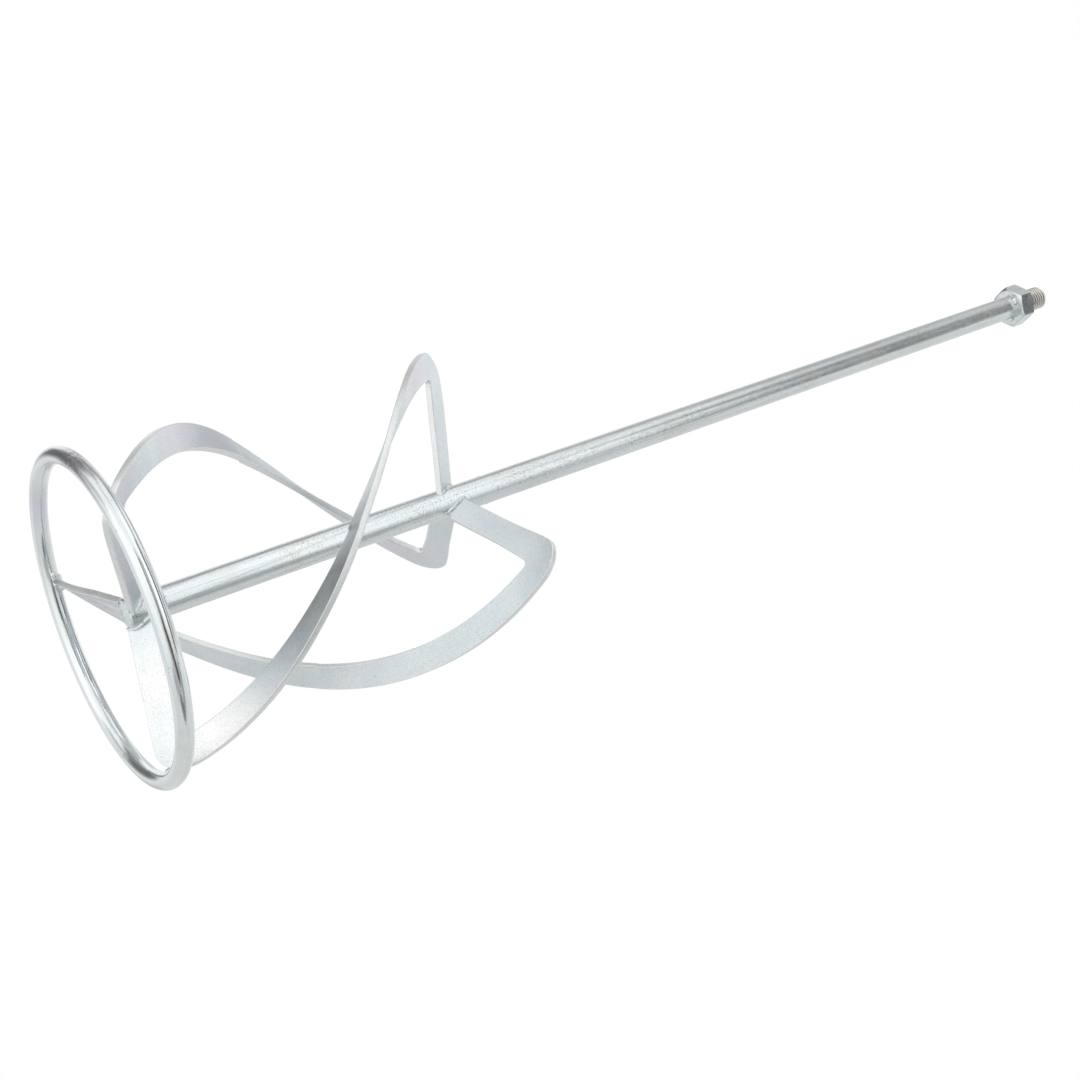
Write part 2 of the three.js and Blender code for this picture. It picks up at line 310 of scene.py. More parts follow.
def zinc_shaft():
    """Zinc on drawn bar: fine lines along the bar, pits, and faint beige stains."""
    s = Shader("zinc_shaft", Metallic=1.0)
    place = s.place()
    drawn = s.noise(s.stretched(place, 1, 1, 0.012), 900, 4, 0.7)
    broad = s.noise(s.stretched(place, 1, 1, 0.05), 130, 3)
    cloud = s.noise(place, 38, 4, 0.6)
    pits = s.level(s.noise(place, 1500, 2, 0.5), 0.62, 0.69)
    pit_zone = s.level(s.noise(s.stretched(place, 1, 1, 0.3), 70, 2), 0.4, 0.55)
    pits = s.math("MULTIPLY", pits, pit_zone)
    color = s.ramp(broad, (0.3, BLUE_ZINC), (0.5, BRIGHT_ZINC), (0.72, GREEN_ZINC))
    color = s.mix(s.level(drawn, 0.35, 0.75, 0.0, 0.35), color, rgba(GREY_ZINC))
    color = s.mix(s.level(cloud, 0.52, 0.68, 0.0, 0.5), color, rgba(STAIN))
    color = s.mix(s.math("MULTIPLY", pits, 0.85), color, rgba(DARK_SPECK))
    rough = s.math("ADD", s.level(drawn, 0.3, 0.7, 0.10, 0.18), s.math("MULTIPLY", cloud, 0.08))
    sand = s.noise(place, 1900, 3, 0.7)
    sand_zone = s.level(s.noise(s.stretched(place, 1, 1, 0.25), 60, 2), 0.35, 0.6, 0.35, 1.0)
    sand = s.math("MULTIPLY", s.level(sand, 0.5, 0.6), sand_zone)
    color = s.mix(s.math("MULTIPLY", sand, 0.7), color, rgba(GREY_ZINC))
    lines = s.level(s.noise(s.stretched(place, 1, 1, 0.004), 1100, 2, 0.5), 0.57, 0.63)
    color = s.mix(s.math("MULTIPLY", lines, 0.55), color, rgba(GREY_ZINC))
    normal = s.bump(drawn, 0.16, 0.0002)
    normal = s.bump(sand, 0.14, 0.0002, normal)
    normal = s.bump(s.noise(place, 260, 3), 0.08, 0.0006, normal)
    normal = s.bump(pits, -0.5, 0.0002, normal)
    return s.finish(color, rough, normal)


def zinc_ring():
    """Zinc on a rolled ring: smoother and glossier, with streaks that run round it."""
    s = Shader("zinc_ring", Metallic=1.0)
    grain = s.attribute("grain")
    place = s.place()
    rolled = s.noise(s.stretched(grain, 1, 1, 0.02), 700, 4, 0.65)
    broad = s.noise(s.stretched(grain, 1, 1, 0.08), 170, 3)
    cloud = s.noise(place, 42, 4, 0.6)
    specks = s.level(s.noise(place, 900, 2, 0.5), 0.70, 0.76)
    dull = s.attribute("dull", "Fac")
    color = s.ramp(broad, (0.3, BLUE_ZINC), (0.5, BRIGHT_ZINC), (0.7, GREEN_ZINC))
    color = s.mix(s.level(rolled, 0.42, 0.78, 0.0, 0.3), color, rgba(GREY_ZINC))
    color = s.mix(s.level(cloud, 0.55, 0.72, 0.0, 0.4), color, rgba(STAIN))
    color = s.mix(s.math("MULTIPLY", specks, 0.7), color, rgba(DARK_SPECK))
    color = s.mix(s.math("MULTIPLY", s.zones(place, RING_LILAC), 0.7), color, rgba(LILAC_ZINC))
    patch = s.math("MULTIPLY", dull, s.level(s.noise(place, 700, 3), 0.4, 0.55))
    color = s.mix(s.math("MULTIPLY", patch, 0.55), color, rgba(DARK_SPECK))
    rough = s.math("ADD", s.level(cloud, 0.35, 0.7, 0.07, 0.16), s.math("MULTIPLY", dull, 0.15))
    normal = s.bump(rolled, 0.1, 0.0002)
    normal = s.bump(s.noise(place, 150, 2), 0.1, 0.0008, normal)
    normal = s.bump(s.noise(place, 900, 4, 0.7), 0.13, 0.0002, normal)
    normal = s.bump(patch, 0.25, 0.0002, normal)
    return s.finish(color, rough, normal)


def zinc_blade():
    """Zinc on cut plate: satin and grainy, with lilac clouds in its blue and duller cut edges."""
    s = Shader("zinc_blade", Metallic=1.0)
    grain = s.attribute("grain")
    place = s.place()
    edge = s.attribute("sheared", "Fac")
    rolled = s.noise(s.stretched(grain, 0.03, 1, 1), 800, 4, 0.65)
    tide = s.noise(place, 24, 3, 0.5)
    cloud = s.noise(place, 75, 4, 0.6)
    sand = s.noise(place, 2100, 3, 0.7)
    base = s.ramp(tide, (0.34, GREEN_ZINC), (0.5, BLUE_ZINC), (0.68, BRIGHT_ZINC))
    film = s.ramp(tide, (0.4, LILAC_ZINC), (0.62, PINK_ZINC))
    wavering = s.level(cloud, 0.3, 0.7, 0.55, 1.0)
    color = s.mix(s.math("MULTIPLY", s.zones(place, LILAC_ZONES), wavering), base, film)
    color = s.mix(s.math("MULTIPLY", s.zones(place, WARM_ZONES), 0.9), color, rgba(WARM_ZINC))
    color = s.mix(s.level(rolled, 0.4, 0.75, 0.0, 0.18), color, rgba(GREY_ZINC))
    color = s.mix(s.level(sand, 0.5, 0.6, 0.0, 0.62), color, rgba(GREY_ZINC))
    color = s.mix(s.level(sand, 0.48, 0.4, 0.0, 0.5), color, rgba(WARM_ZINC))
    specks = s.level(s.noise(place, 1100, 2, 0.5), 0.70, 0.77)
    color = s.mix(s.math("MULTIPLY", specks, 0.6), color, rgba(DARK_SPECK))
    cut_lines = s.noise(s.stretched(grain, 1, 0.2, 0.2), 1500, 3, 0.6)
    edge_color = s.ramp(cut_lines, (0.3, GREEN_ZINC), (0.6, WARM_ZINC))
    color = s.mix(s.math("MULTIPLY", edge, 0.75), color, edge_color)
    rough = s.math("ADD", s.level(cloud, 0.3, 0.7, 0.30, 0.40), s.math("MULTIPLY", edge, 0.05))
    normal = s.bump(rolled, 0.1, 0.0002)
    normal = s.bump(sand, 0.16, 0.0002, normal)
    normal = s.bump(s.noise(place, 420, 3), 0.12, 0.0003, normal)
    normal = s.bump(s.math("MULTIPLY", cut_lines, edge), 0.12, 0.0002, normal)
    return s.finish(color, rough, normal)


def zinc_nut():
    """Zinc on a cold-formed hexagon: smooth, greyer than the shaft, with soiled corners."""
    s = Shader("zinc_nut", Metallic=1.0)
    place = s.place()
    cloud = s.noise(place, 160, 4, 0.6)
    fine = s.noise(place, 1600, 3, 0.6)
    soil = s.level(s.noise(place, 300, 4, 0.65), 0.58, 0.68)
    color = s.ramp(cloud, (0.3, GREY_ZINC), (0.6, NUT_ZINC), (0.8, BRIGHT_ZINC))
    color = s.mix(s.math("MULTIPLY", soil, 0.45), color, rgba(DARK_SPECK))
    color = s.mix(s.level(fine, 0.45, 0.75, 0.0, 0.25), color, rgba(GREY_ZINC))
    rough = s.level(fine, 0.3, 0.7, 0.12, 0.22)
    normal = s.bump(fine, 0.08, 0.0002)
    normal = s.bump(cloud, 0.12, 0.0008, normal)
    return s.finish(color, rough, normal)


def bare_stud():
    """Warmer, rougher steel of the rolled thread, with painted shade darkening its roots."""
    s = Shader("bare_stud", Metallic=1.0)
    place = s.place()
    fine = s.noise(place, 1300, 4, 0.65)
    root = s.attribute("root", "Fac")
    color = s.ramp(fine, (0.3, WARM_STEEL), (0.65, WARM_ZINC))
    # Painted shade: darkens the thread's roots, most where the groove is deepest, in noisy patches.
    painted_root_shade = s.math("MULTIPLY", s.level(root, 0.1, 0.7), s.level(s.noise(place, 500, 3), 0.25, 0.55, 0.6))
    color = s.mix(s.math("MULTIPLY", painted_root_shade, 0.9), color, rgba(ROOT_SHADE_COLOR))
    rough = s.level(fine, 0.3, 0.7, 0.2, 0.36)
    return s.finish(color, rough, s.bump(fine, 0.25, 0.0003))


def zinc_weld():
    """Plated weld metal: bright crests, burnt specks between the ripples."""
    s = Shader("zinc_weld", Metallic=1.0)
    place = s.place()
    lumps = s.noise(place, 700, 4, 0.6)
    burnt = s.level(s.noise(place, 480, 4, 0.7), 0.56, 0.66)
    color = s.ramp(lumps, (0.3, GREY_ZINC), (0.5, BRIGHT_ZINC), (0.7, GREEN_ZINC))
    color = s.mix(s.math("MULTIPLY", burnt, 0.75), color, rgba(DARK_SPECK))
    rough = s.level(lumps, 0.3, 0.7, 0.24, 0.4)
    normal = s.bump(lumps, 0.25, 0.0004)
    return s.finish(color, rough, normal)


# ---------------------------------------------------------------------------------------------
# Shaft and ring
# ---------------------------------------------------------------------------------------------
SHAFT_SIDES = 144
SHAFT_STEPS = 60
SHAFT_CHAMFER = 0.6 * MM
SHAFT_SOFTENING = 0.15 * MM


def build_shaft():
    """Drawn round bar, turned off at its lower end."""
    soft = SHAFT_SOFTENING
    profile = [
        (SHAFT_RADIUS - SHAFT_CHAMFER - soft, SHAFT_BOTTOM),
        (SHAFT_RADIUS - SHAFT_CHAMFER, SHAFT_BOTTOM + soft * 0.3),
        (SHAFT_RADIUS - soft * 0.3, SHAFT_BOTTOM + SHAFT_CHAMFER),
        (SHAFT_RADIUS, SHAFT_BOTTOM + SHAFT_CHAMFER + soft),
    ]
    straight_bottom = SHAFT_BOTTOM + 1 * MM
    for i in range(1, SHAFT_STEPS + 1):
        height = straight_bottom + (NUT_BOTTOM - straight_bottom) * i / SHAFT_STEPS
        profile.append((SHAFT_RADIUS, height))
    points, faces = skin(turned(profile, SHAFT_SIDES))
    keep(make_object("shaft_bar", points, faces, zinc_shaft()), "shaft")


RING_STEPS = 400
RING_SIDES = 48
BUTT_ANGLE = math.radians(-162)
BUTT_WIDTH = math.radians(1.6)
BUTT_DRESSING = 0.05 * MM
DULL_WIDTH = math.radians(6)


def build_ring():
    """Round bar rolled to a ring, butt-welded where it closes and dressed flush there."""
    rows, grain, dull = [], [], []
    for i in range(RING_STEPS):
        turn = 2 * math.pi * i / RING_STEPS
        angle = BUTT_ANGLE + turn
        away = math.remainder(turn, 2 * math.pi)
        seam = math.exp(-((away / BUTT_WIDTH) ** 2))
        row = []
        for j in range(RING_SIDES):
            section = 2 * math.pi * j / RING_SIDES
            uneven = 1 + math.sin(5 * section) + math.sin(2 * section + 90 * turn)
            size = BAR_RADIUS - max(0, BUTT_DRESSING * seam * uneven)
            out, up = size * math.cos(section), size * math.sin(section)
            reach = RING_RADIUS + out
            row.append(Vector((reach * math.cos(angle), reach * math.sin(angle), BAR_RADIUS + up)))
            grain.append((out, up, RING_RADIUS * turn))
            dull.append(math.exp(-((away / DULL_WIDTH) ** 2)))
        rows.append(row)
    points, faces = skin(rows, close_rows=True)
    made = make_object("ring_bar", points, faces, zinc_ring())
    set_vectors(made, "grain", grain)
    set_values(made, "dull", dull)
    keep(made, "ring")


# ---------------------------------------------------------------------------------------------
# Blades
# ---------------------------------------------------------------------------------------------
ARM_STEPS = 26
CORNER_STEPS = 22
STRIP_STEPS = 130
WIDTH_STEPS = 10
EDGE_STEPS = 4
NORMAL_STEP = 0.05 * MM
ROOT_RADIUS = SHAFT_RADIUS - 0.35 * MM
# where the flat pattern's arms end, before they are seated in the shaft
PATTERN_END = 3 * MM


def blade_point(radius, height, leg_pitch):
    """A point of the twisted middle surface, given by its radius and height on the flat pattern."""
    is_arm = height < (ARM_MIDDLE + LEG_MIDDLE) / 2
    middle = ARM_MIDDLE if is_arm else LEG_MIDDLE
    lean = math.tan(ARM_PITCH if is_arm else leg_pitch) * (height - middle)
    slope = ARM_RISE if is_arm else -LEG_DROP
    plate = turn_z(Vector((radius, lean, 0)), TWIST_RATE * (middle - ARM_MIDDLE))
    helix = turn_z(Vector((radius, 0, 0)), TWIST_RATE * (height - ARM_MIDDLE))
    place = plate.lerp(helix, smoothstep(radius, STRIP_INNER - TWIST_BLEND, STRIP_INNER))
    inward = STRIP_INNER - radius
    place.z = height + slope * (inward + math.hypot(inward, SLOPE_BLEND)) / 2
    return place


def blade_normal(radius, height, leg_pitch):
    step = NORMAL_STEP
    outwards = blade_point(radius + step, height, leg_pitch)
    outwards -= blade_point(radius - step, height, leg_pitch)
    upwards = blade_point(radius, height + step, leg_pitch)
    upwards -= blade_point(radius, height - step, leg_pitch)
    return upwards.cross(outwards).normalized()


def blade_lines():
    """Lines across the flat C from its inner to its outer edge, from the arm's root to the leg's."""
    arm_top = BLADE_BOTTOM + ARM_HEIGHT
    leg_bottom = BLADE_TOP - LEG_HEIGHT
    tight_center = STRIP_INNER - INNER_CORNER
    wide_center = BLADE_RADIUS - OUTER_CORNER
    arm_end = min(tight_center, wide_center)
    lower_corner = []
    for i in range(1, CORNER_STEPS + 1):
        angle = math.pi / 2 * i / CORNER_STEPS
        across, up = math.sin(angle), 1 - math.cos(angle)
        lower_corner.append((
            tight_center + INNER_CORNER * across, arm_top + INNER_CORNER * up,
            wide_center + OUTER_CORNER * across, BLADE_BOTTOM + OUTER_CORNER * up,
        ))
    strip_bottom = max(arm_top + INNER_CORNER, BLADE_BOTTOM + OUTER_CORNER)
    strip_top = min(leg_bottom - INNER_CORNER, BLADE_TOP - OUTER_CORNER)
    lines = []
    for i in range(ARM_STEPS + 1):
        radius = PATTERN_END + (arm_end - PATTERN_END) * i / ARM_STEPS
        lines.append((radius, arm_top, radius, BLADE_BOTTOM))
    lines.extend(lower_corner)
    for i in range(STRIP_STEPS + 1):
        height = strip_bottom + (strip_top - strip_bottom) * i / STRIP_STEPS
        lines.append((STRIP_INNER, height, BLADE_RADIUS, height))
    for inner, inner_height, outer, outer_height in reversed(lower_corner):
        lines.append((
            inner, leg_bottom + arm_top - inner_height, outer, BLADE_TOP + BLADE_BOTTOM - outer_height,
        ))
    for i in range(ARM_STEPS + 1):
        radius = arm_end + (PATTERN_END - arm_end) * i / ARM_STEPS
        lines.append((radius, leg_bottom, radius, BLADE_TOP))
    return lines


def plate_section(width):
    """Round a plate: distance from the inner edge, offset from the middle, and 1 on a cut edge."""
    half = BLADE_THICKNESS / 2
    section = []
    for i in range(WIDTH_STEPS + 1):
        section.append((SHEARED_EDGE + (width - 2 * SHEARED_EDGE) * i / WIDTH_STEPS, half, 0.0))
    for side, first in ((1, math.pi / 2), (-1, 0)):
        for i in range(EDGE_STEPS + 1):
            angle = first - math.pi / 2 * i / EDGE_STEPS
            outward, up = math.cos(angle), math.sin(angle)
            across = width - SHEARED_EDGE + SHEARED_EDGE * outward
            offset = side * (half - SHEARED_EDGE) + SHEARED_EDGE * up
            section.append((across, offset, 1.0))
    turned_over = [(width - across, -offset, edge) for across, offset, edge in section]
    return section + turned_over


def build_blade(index, material):
    """One C-shaped blade of plate: arm, helical strip and leg, with sheared edges."""
    start = BLADE_START + 2 * math.pi * index / BLADE_COUNT
    leg_pitch = LEG_PITCHES[index]
    rows, grain, sheared = [], [], []
    travelled = 0.0
    before = None
    wobble = [rng.uniform(0, 2 * math.pi) for _ in range(3)]
    for inner, inner_height, outer, outer_height in blade_lines():
        width = math.dist((inner, inner_height), (outer, outer_height))
        middle = blade_point((inner + outer) / 2, (inner_height + outer_height) / 2, leg_pitch)
        travelled += (middle - before).length if before else 0.0
        before = middle
        row = []
        for across, offset, edge in plate_section(width):
            share = across / width
            radius = inner + (outer - inner) * share
            height = inner_height + (outer_height - inner_height) * share
            normal = blade_normal(radius, height, leg_pitch)
            # a bent plate is never quite even: it bows by up to a tenth of a millimetre
            bow = 0.06 * MM * math.sin(travelled * 55 + wobble[0])
            bow += 0.04 * MM * math.sin(travelled * 130 + wobble[1])
            place = blade_point(radius, height, leg_pitch) + normal * (offset + bow)
            row.append(turn_z(place, start))
            grain.append((travelled, across, offset + 0.2 * index))
            sheared.append(edge)
        rows.append(row)
    seat_in_shaft(rows[0])
    seat_in_shaft(rows[-1])
    points, faces = skin(rows)
    made = make_object(f"blade_plate_{index + 1}", points, faces, material, 30)
    set_vectors(made, "grain", grain)
    set_values(made, "sheared", sheared)
    keep(made, f"blade_{index + 1}")


def seat_in_shaft(row):
    """Slides the end of an arm or leg along its own direction until it sits in the shaft's skin."""
    center = sum(row, Vector()) / len(row)
    outwards = Vector((center.x, center.y, 0)).normalized()
    for point in row:
        along = point.dot(outwards)
        side = point - outwards * along
        aside = math.hypot(side.x, side.y)
        wanted = math.sqrt(max((2 * MM) ** 2, ROOT_RADIUS ** 2 - aside ** 2))
        point += outwards * (wanted - along)


def build_blades():
    material = zinc_blade()
    for index in range(BLADE_COUNT):
        build_blade(index, material)


# ---------------------------------------------------------------------------------------------
# Drive end
# ---------------------------------------------------------------------------------------------
NUT_SIDES = 96
NUT_FACE_RADIUS = NUT_FLAT_RADIUS - 0.4 * MM
NUT_CHAMFER = math.radians(30)
NUT_SOFTENING = 0.22 * MM
BORE_RADIUS = THREAD_RADIUS + 0.12 * MM
COUNTERSINK = 0.5 * MM


def build_nut():
    """Hexagon with its corners turned off, which leaves the curved edge a real nut has."""
    angles = [2 * math.pi * i / NUT_SIDES for i in range(NUT_SIDES)]
    sector = math.pi / 3

    def ring_at(radius_of, height_of):
        row = []
        for angle in angles:
            # a corner points along +X and a flat faces +Y
            off_flat = (angle % sector) - sector / 2
            hexagon = NUT_FLAT_RADIUS / math.cos(off_flat)
            radius = radius_of(hexagon)
            row.append(Vector((radius * math.cos(angle), radius * math.sin(angle), height_of(hexagon))))
        return row

    def drop(hexagon):
        return (hexagon - NUT_FACE_RADIUS) * math.tan(NUT_CHAMFER)

    rows = [
        ring_at(lambda h: BORE_RADIUS, lambda h: NUT_BOTTOM + COUNTERSINK),
        ring_at(lambda h: SHAFT_RADIUS - COUNTERSINK, lambda h: NUT_BOTTOM),
        ring_at(lambda h: NUT_FACE_RADIUS, lambda h: NUT_BOTTOM),
        ring_at(lambda h: h, lambda h: NUT_BOTTOM + drop(h)),
        ring_at(lambda h: h, lambda h: (NUT_BOTTOM + NUT_TOP) / 2),
        ring_at(lambda h: h, lambda h: NUT_TOP - drop(h)),
        ring_at(lambda h: NUT_FACE_RADIUS, lambda h: NUT_TOP),
        ring_at(lambda h: BORE_RADIUS + COUNTERSINK, lambda h: NUT_TOP),
        ring_at(lambda h: BORE_RADIUS, lambda h: NUT_TOP - COUNTERSINK),
    ]
    points, faces = skin(rows, close_rows=True)
    made = make_object("nut_hexagon", points, faces, zinc_nut(), sharp_degrees=180)
    bevel = made.modifiers.new("softened", "BEVEL")
    bevel.width = NUT_SOFTENING
    bevel.segments = 3
    bevel.angle_limit = math.radians(20)
    made.modifiers.new("even_shading", "WEIGHTED_NORMAL")
    keep(made, "hex_nut")


THREAD_SIDES = 96
THREAD_ROWS_PER_TURN = 24
THREAD_RUNOUT = 1 * MM
# parts of a pitch: half of a flat crest, and half of a flat root
CREST_SHARE = 1 / 16
ROOT_SHARE = 1 / 10


def build_stud():
    """Threaded stud: a true right-handed helix with flat crests, chamfered at its end."""
    flank = 1 / 2 - CREST_SHARE - ROOT_SHARE
    thread_start = NUT_TOP - 1.5 * MM
    heights = [stud_low.z]
    count = round((STUD_TOP - thread_start) / THREAD_PITCH * THREAD_ROWS_PER_TURN)
    heights.extend(thread_start + (STUD_TOP - thread_start) * i / count for i in range(count + 1))
    angles = [2 * math.pi * i / THREAD_SIDES for i in range(THREAD_SIDES)]
    rows, root = [], []
    for height in heights:
        row = []
        for angle in angles:
            turns = height / THREAD_PITCH - angle / (2 * math.pi)
            from_crest = abs(turns - round(turns))
            groove = min(1, max(0, (from_crest - CREST_SHARE) / flank))
            groove *= smoothstep(height, thread_start, thread_start + THREAD_RUNOUT)
            chamfer = THREAD_RADIUS - STUD_CHAMFER + (STUD_TOP - height)
            radius = min(THREAD_RADIUS - THREAD_DEPTH * groove, chamfer)
            row.append(Vector((radius * math.cos(angle), radius * math.sin(angle), height)))
            root.append(groove)
        rows.append(row)
    points, faces = skin(rows)
    made = make_object("stud_thread", points, faces, bare_stud(), 40)
    set_values(made, "root", root)
    keep(made, "drive_stud")


# ---------------------------------------------------------------------------------------------
# Welds
# ---------------------------------------------------------------------------------------------
BEAD_SIDES = 20
BEAD_STEP = 0.28 * MM
RIPPLE_LENGTH = 1.15 * MM
ROOT_BEAD_STEPS = 40
SHORT_BEAD_STEPS = 20
DROP_ROWS = 6
DROP_SIDES = 10
RING_BEAD_MIDDLE = math.radians(142)
RING_BEAD_HALF = math.radians(44)
TACK_HALF = math.radians(20)
TACK_COUNT = 3
# (lowest place, highest place, how many drops)
SPATTER_ZONES = (
    (17 * MM, 40 * MM, 34),
    (150 * MM, 204 * MM, 42),
    (594 * MM, 599.5 * MM, 12),
)


def resampled(path, step):
    """The path's points at even steps along it."""
    lengths = np.cumsum([0.0] + [(b - a).length for a, b in zip(path, path[1:])])
    count = max(8, round(lengths[-1] / step))
    wanted = np.linspace(0, lengths[-1], count + 1)
    columns = [np.interp(wanted, lengths, [p[k] for p in path]) for k in range(3)]
    return [Vector(p) for p in zip(*columns)]


def bead(path, radius):
    """A weld bead along a path: crescent ripples, uneven width, rounded ends."""
    path = resampled(path, BEAD_STEP)
    last = len(path) - 1
    phase = rng.uniform(0, 2 * math.pi)
    side = (path[1] - path[0]).orthogonal().normalized()
    rows = []
    for i, center in enumerate(path):
        forward = (path[min(i + 1, last)] - path[max(i - 1, 0)]).normalized()
        side = (side - forward * side.dot(forward)).normalized()
        other = forward.cross(side)
        share = i / last
        taper = math.sqrt(max(0.02, 1 - abs(2 * share - 1) ** 3))
        row = []
        for j in range(BEAD_SIDES):
            angle = 2 * math.pi * j / BEAD_SIDES
            outward = side * math.cos(angle) + other * math.sin(angle)
            travelled = i * BEAD_STEP / RIPPLE_LENGTH
            ripple = 0.035 * math.sin(2 * math.pi * travelled + phase + 1.6 * math.cos(angle))
            lump = 0.30 * noise.noise((center + outward * radius) * 420)
            row.append(center + outward * radius * taper * (1 + ripple + lump))
        rows.append(row)
    return skin(rows)


def root_path(middle, pitch, slope, width, radius):
    """Round the root of an arm or leg, lying on the shaft, before it's turned to its blade."""
    reach = SHAFT_RADIUS + radius * 0.05
    half_width = width / 2 + radius * 0.05
    half_thickness = BLADE_THICKNESS / 2 + radius * 0.1
    root_height = middle + slope * (STRIP_INNER - reach)
    points = []
    for i in range(ROOT_BEAD_STEPS + 1):
        turn = (i / ROOT_BEAD_STEPS - 0.5) * 0.96 * 2 * math.pi
        along = half_width * squared(math.cos(turn))
        across = half_thickness * squared(math.sin(turn))
        aside = along * math.sin(pitch) + across * math.cos(pitch)
        height = root_height + along * math.cos(pitch) - across * math.sin(pitch)
        outward = math.sqrt(reach ** 2 - aside ** 2)
        points.append(turn_z(Vector((outward, aside, height)), TWIST_RATE * (middle - ARM_MIDDLE)))
    return points


def squared(value):
    """Bends a circle's sine or cosine towards a rounded square's."""
    return math.copysign(abs(value) ** 0.6, value)


def spread(middle, half, count=SHORT_BEAD_STEPS):
    """Even angles from a half width before the middle to a half width after it."""
    return [middle + half * (2 * i / count - 1) for i in range(count + 1)]


def ring_path(face):
    """In the corner between one face of the blade and the ring."""
    reach = BAR_RADIUS + RING_BEAD * 0.05
    away = BLADE_THICKNESS / 2 + RING_BEAD * 0.1
    points = []
    for angle in spread(RING_BEAD_MIDDLE, RING_BEAD_HALF):
        radius = RING_RADIUS + reach * math.cos(angle)
        height = BAR_RADIUS + reach * math.sin(angle)
        sideways = face * away * math.hypot(1, radius * TWIST_RATE)
        turn = TWIST_RATE * (height - ARM_MIDDLE) + sideways / radius
        points.append(Vector((radius * math.cos(turn), radius * math.sin(turn), height)))
    return points


def tack_path(middle_angle):
    """A short weld between the shaft and the nut."""
    reach = SHAFT_RADIUS + NUT_BEAD * 0.3
    height = NUT_BOTTOM - NUT_BEAD * 0.3
    angles = spread(middle_angle, TACK_HALF)
    return [Vector((reach * math.cos(a), reach * math.sin(a), height)) for a in angles]


def build_welds():
    material = zinc_weld()
    arm = (ARM_MIDDLE, ARM_PITCH, ARM_RISE, ARM_HEIGHT / math.cos(ARM_PITCH))
    for index, pitch in enumerate(LEG_PITCHES):
        leg = (LEG_MIDDLE, pitch, -LEG_DROP, LEG_HEIGHT / math.cos(pitch))
        joints = (
            ("weld_bottom", root_path(*arm, ARM_BEAD), ARM_BEAD),
            ("weld_top", root_path(*leg, LEG_BEAD), LEG_BEAD),
            ("weld_ring_lower", ring_path(-1), RING_BEAD),
            ("weld_ring_upper", ring_path(1), RING_BEAD),
        )
        start = BLADE_START + 2 * math.pi * index / BLADE_COUNT
        for node, path, radius in joints:
            turned_path = [turn_z(p, start) for p in path]
            points, faces = bead(turned_path, radius)
            made = make_object(f"bead_{node}_{index + 1}", points, faces, material, 60)
            keep(made, f"{node}_{index + 1}")
    for index in range(TACK_COUNT):
        points, faces = bead(tack_path(2 * math.pi * index / TACK_COUNT), NUT_BEAD)
        made = make_object(f"bead_weld_nut_{index + 1}", points, faces, material, 60)
        keep(made, f"weld_nut_{index + 1}")
    build_spatter(material)


def droplet(center, outwards, radius):
    """A small round drop of weld metal stuck to a surface."""
    side = outwards.orthogonal().normalized()
    other = outwards.cross(side)
    rows = []
    for i in range(1, DROP_ROWS + 1):
        tilt = math.pi * i / (DROP_ROWS + 1)
        row = []
        for j in range(DROP_SIDES):
            angle = 2 * math.pi * j / DROP_SIDES
            spoke = side * math.cos(angle) + other * math.sin(angle)
            row.append(center + radius * (spoke * math.sin(tilt) - outwards * 0.7 * math.cos(tilt)))
        rows.append(row)
    return skin(rows)


def build_spatter(material):
    """Weld spatter on the shaft by the blade roots and by the nut."""
    drops = []
    for low, high, count in SPATTER_ZONES:
        for _ in range(count):
            angle = rng.uniform(0, 2 * math.pi)
            height = rng.uniform(low, high)
            radius = rng.uniform(0.18, 0.55) * MM
            outwards = Vector((math.cos(angle), math.sin(angle), 0))
            center = outwards * (SHAFT_RADIUS + radius * 0.1) + Vector((0, 0, height))
            drops.append(droplet(center, outwards, radius))
    points, faces = merge(drops)
    made = make_object("weld_spatter", points, faces, material, 60)
    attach(made, "root")


# ---------------------------------------------------------------------------------------------
# Studio: pale floor, soft light, camera
# ---------------------------------------------------------------------------------------------
FLOOR_SIZE = 8.0
FLOOR_DROP = 0.3 * MM
FLOOR_FADE = 1.5


def build_floor():
    """A pale floor that fades out far away.

    Only the view from above sees it. From beneath it lets the view through, as the camera is
    lower than the ring, and it neither shows in the zinc nor shades it.
    """
    half = FLOOR_SIZE / 2
    corners = [(-half, -half), (half, -half), (half, half), (-half, half)]
    mesh = bpy.data.meshes.new("floor")
    mesh.from_pydata([(x, y, -FLOOR_DROP) for x, y in corners], [], [(0, 1, 2, 3)])
    floor = bpy.data.objects.new("floor", mesh)
    scene.collection.objects.link(floor)
    floor.visible_glossy = False
    floor.visible_diffuse = False
    floor.visible_shadow = False
    s = Shader("pale_floor", Roughness=0.9, Specular_IOR_Level=0.1)
    s.feed(s.surface.inputs["Base Color"], s.ramp(
        s.noise(s.place(), 3, 3), (0.3, (0.88, 0.88, 0.88)), (0.7, (0.91, 0.91, 0.91))
    ))
    clear = s.add("BsdfTransparent")
    below = s.add("NewGeometry").outputs["Backfacing"]
    scaled = s.stretched(s.place(), 1 / FLOOR_FADE, 1 / FLOOR_FADE, 1)
    nearness = s.add("TexGradient", {"Vector": scaled}, gradient_type="SPHERICAL").outputs["Fac"]
    hidden = s.math("MAXIMUM", below, s.level(nearness, 0.75, 0.1))
    mixed = s.add("MixShader", {0: hidden, 1: s.surface.outputs[0], 2: clear.outputs[0]})
    s.feed(s.tree.nodes["Material Output"].inputs["Surface"], mixed.outputs[0])
    mesh.materials.append(s.material)


